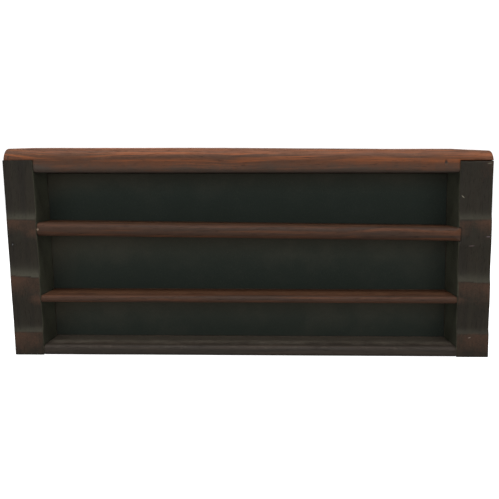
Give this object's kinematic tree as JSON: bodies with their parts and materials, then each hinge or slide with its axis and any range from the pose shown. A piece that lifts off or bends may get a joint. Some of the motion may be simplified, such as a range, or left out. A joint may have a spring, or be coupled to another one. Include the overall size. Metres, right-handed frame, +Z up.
{
  "type": "game piece rack",
  "caption": "Shallow hand-made wooden rack with open rows one above another between coved end boards, cloth-lined at the back, for holding game pieces on edge.",
  "frame": {"origin": "centre of the rack's bounding box at the underside", "axes": "+Z up, +X along the rows to the right as seen from the open side, rows open towards -Y"},
  "size_m": [0.305, 0.0286, 0.132],
  "materials": {
    "end_wood": "dark stained hardwood, semi-gloss, rubbed brown at the proud edges",
    "rail_wood": "red-brown hardwood with long streaked grain, waxed",
    "shelf_wood": "red-brown hardwood, waxed, dark in the pores",
    "bottom_wood": "dark stained hardwood, dull wax",
    "panel_wood": "thin stained board, matte",
    "baize": "dark green wool cloth, napped",
    "brad_steel": "dulled, lightly rusted wire nails",
    "bright_steel": "rubbed bright"
  },
  "bodies": {
    "root": {"left_end": "end_wood", "right_end": "end_wood", "top_rail": "rail_wood", "upper_shelf": "shelf_wood", "lower_shelf": "shelf_wood", "bottom_board": "bottom_wood", "back_panel": "panel_wood", "upper_lining": "baize", "middle_lining": "baize", "lower_lining": "baize", "top_rail_brads": "brad_steel", "upper_shelf_brads": "brad_steel", "lower_shelf_brads": "brad_steel", "bottom_board_brads": "brad_steel", "back_panel_pins": "brad_steel", "shelf_toe_pin": "bright_steel"}
  },
  "joints": []
}
